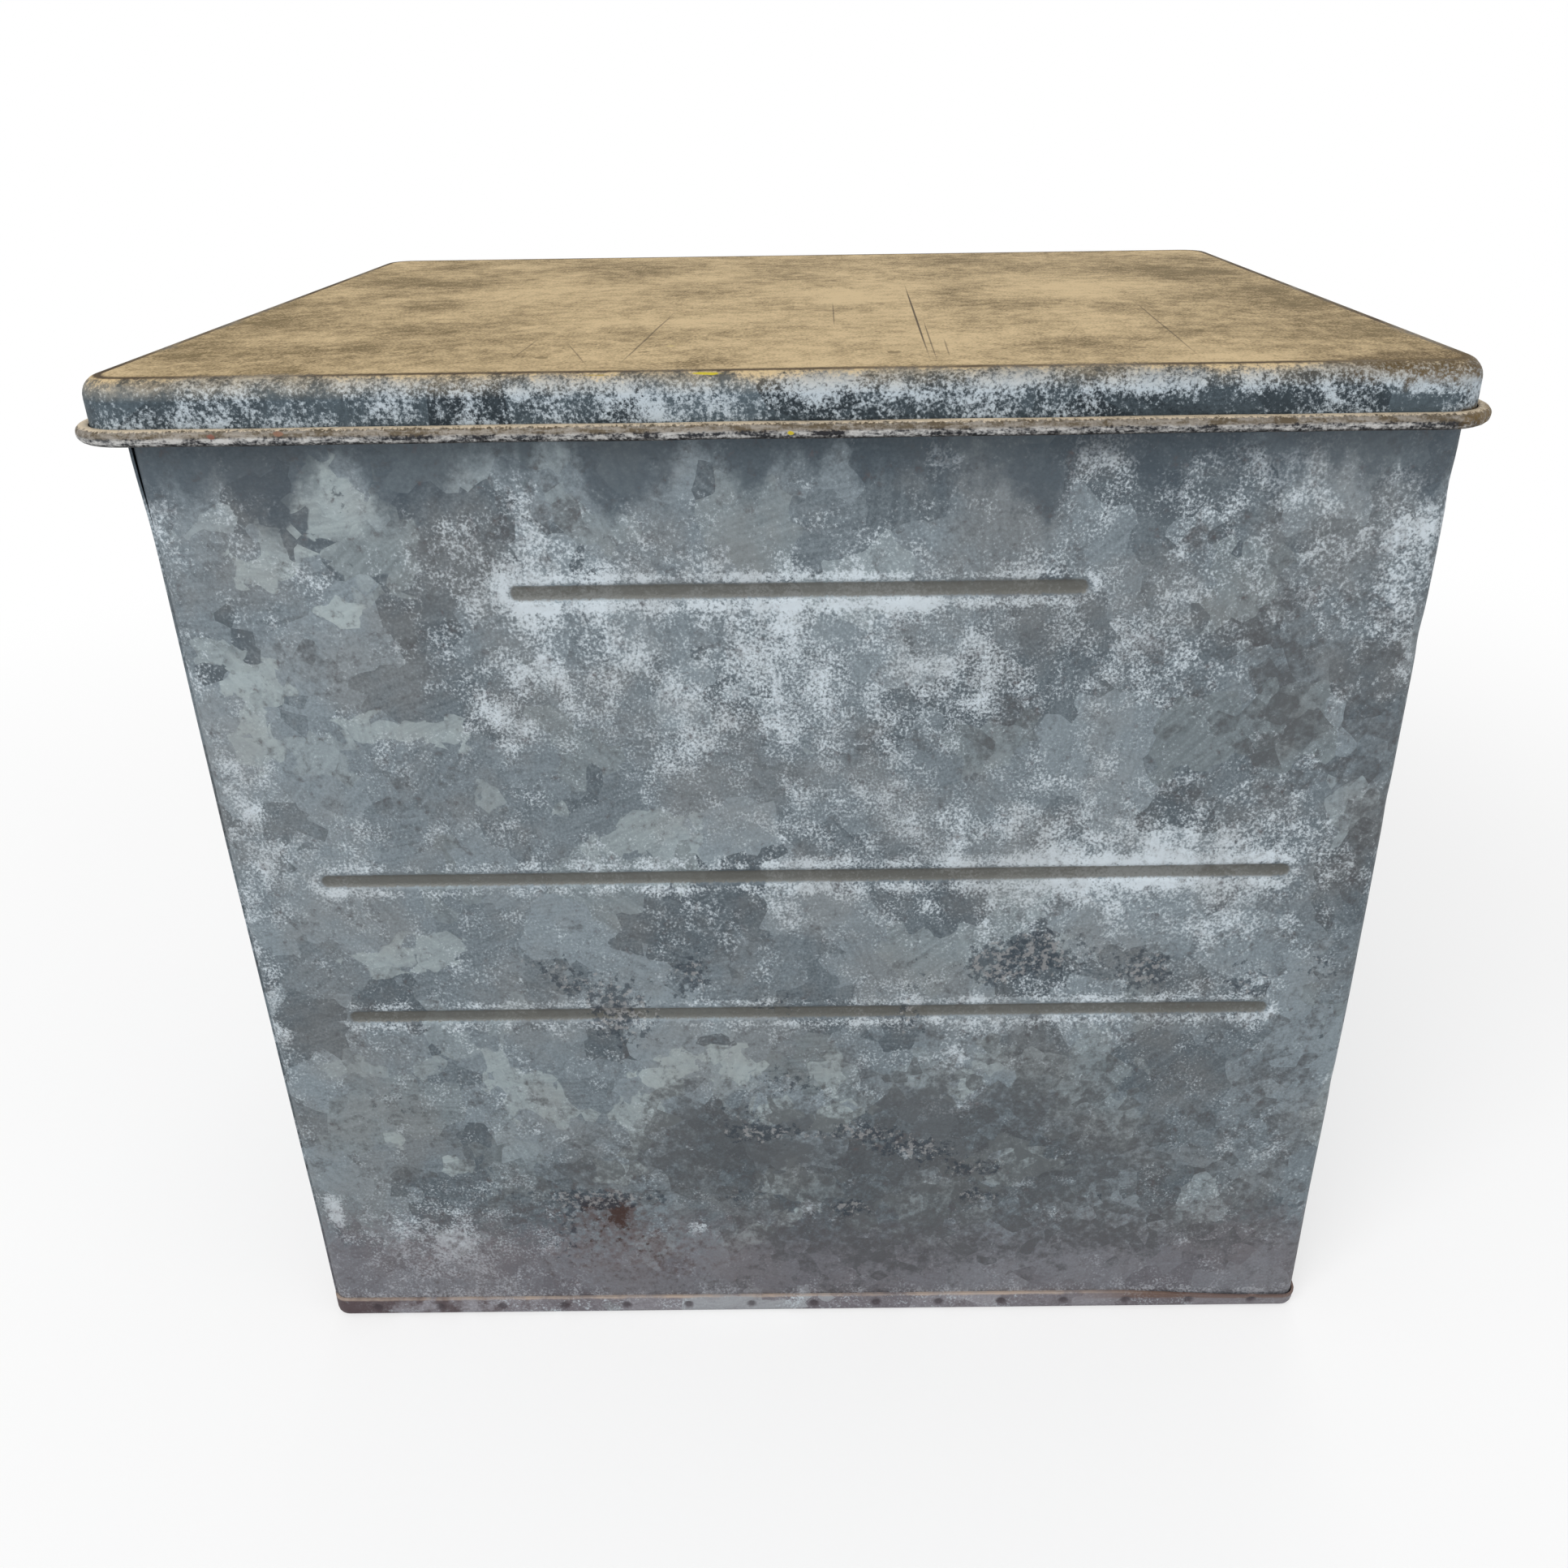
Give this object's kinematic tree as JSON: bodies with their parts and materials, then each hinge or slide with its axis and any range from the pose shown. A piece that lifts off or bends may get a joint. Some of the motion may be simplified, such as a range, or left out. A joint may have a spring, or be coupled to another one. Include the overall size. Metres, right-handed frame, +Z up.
{
  "type": "milk cooler",
  "caption": "Double-walled galvanised steel porch box that keeps delivered milk bottles cool, with a lid hinged at the back.",
  "frame": {"origin": "middle of the underside of the bottom pan, on the floor", "axes": "+X to the right seen from the front, +Y to the back where the hinges are, +Z up"},
  "size_m": [0.3368, 0.274, 0.305],
  "materials": {
    "galvanised_shell": "weathered hot-dip galvanised, matt, spangled, with white oxide",
    "galvanised_pan": "weathered galvanised, matt, with rust tint",
    "galvanised_liner": "galvanised, satin",
    "galvanised_lid": "weathered galvanised, matt, tan patina",
    "strap_steel": "weathered galvanised strip, matt",
    "rivet_steel": "tinned steel, dull",
    "iron_wire": "iron wire, dull, rust tinted",
    "fibre_board": "plain brown fibre board"
  },
  "bodies": {
    "box": {"outer_shell": "galvanised_shell", "bottom_pan": "galvanised_pan", "liner_walls": "galvanised_liner", "liner_floor": "galvanised_liner", "insulation_front": "fibre_board", "insulation_back": "fibre_board", "insulation_left": "fibre_board", "insulation_right": "fibre_board", "insulation_base": "fibre_board", "hinge_strap_left": "strap_steel", "hinge_strap_right": "strap_steel", "hinge_rivets_left": "rivet_steel", "hinge_rivets_right": "rivet_steel"},
    "lid": {"lid_cover": "galvanised_lid", "lid_wire": "iron_wire", "lid_insulation": "fibre_board", "lid_liner_pan": "galvanised_liner"}
  },
  "joints": [
    {"name": "lid_hinge", "type": "hinge", "parent": "box", "child": "lid", "pos_m": [0, 0.1349, 0.292], "axis": [-1, 0, 0], "range_deg": [0, 200]}
  ]
}
